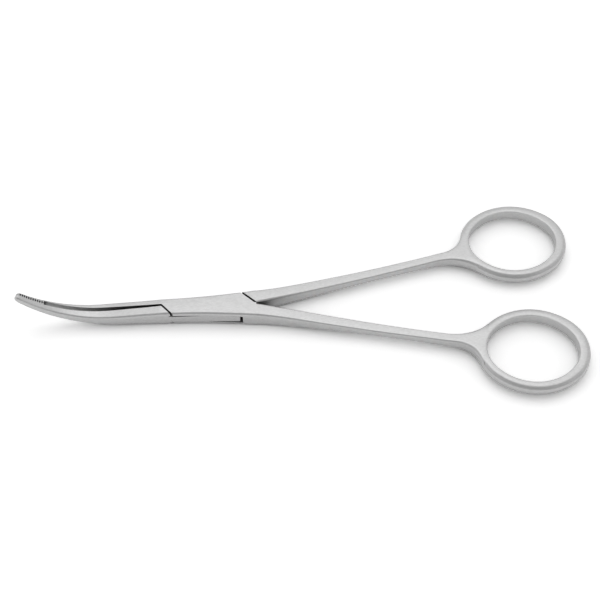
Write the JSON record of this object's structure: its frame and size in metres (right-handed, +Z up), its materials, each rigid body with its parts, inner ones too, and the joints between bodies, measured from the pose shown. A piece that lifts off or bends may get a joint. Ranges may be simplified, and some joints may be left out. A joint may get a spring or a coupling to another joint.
{
  "type": "curved dissecting forceps",
  "caption": "Ring-handled dissecting forceps with a box-lock joint, curved tapering jaws with cross-serrated tips, and no ratchet.",
  "frame": {"origin": "foot of the joint pin's axis on the flat underside of the box lock", "axes": "+X towards the finger rings, jaws towards -X; +Z up out of the rings' plane, the way the jaw tips curve; the joint turns about +Z"},
  "size_m": [0.1742, 0.071, 0.0149],
  "materials": {
    "steel": "satin"
  },
  "bodies": {
    "box_body": {"box_half": "steel", "joint_pin": "steel"},
    "tenon_body": {"tenon_half": "steel"}
  },
  "joints": [
    {"name": "box_lock", "type": "hinge", "parent": "box_body", "child": "tenon_body", "pos_m": [0, 0, 0.0029], "axis": [0, 0, 1], "range_deg": [0, 45]}
  ]
}
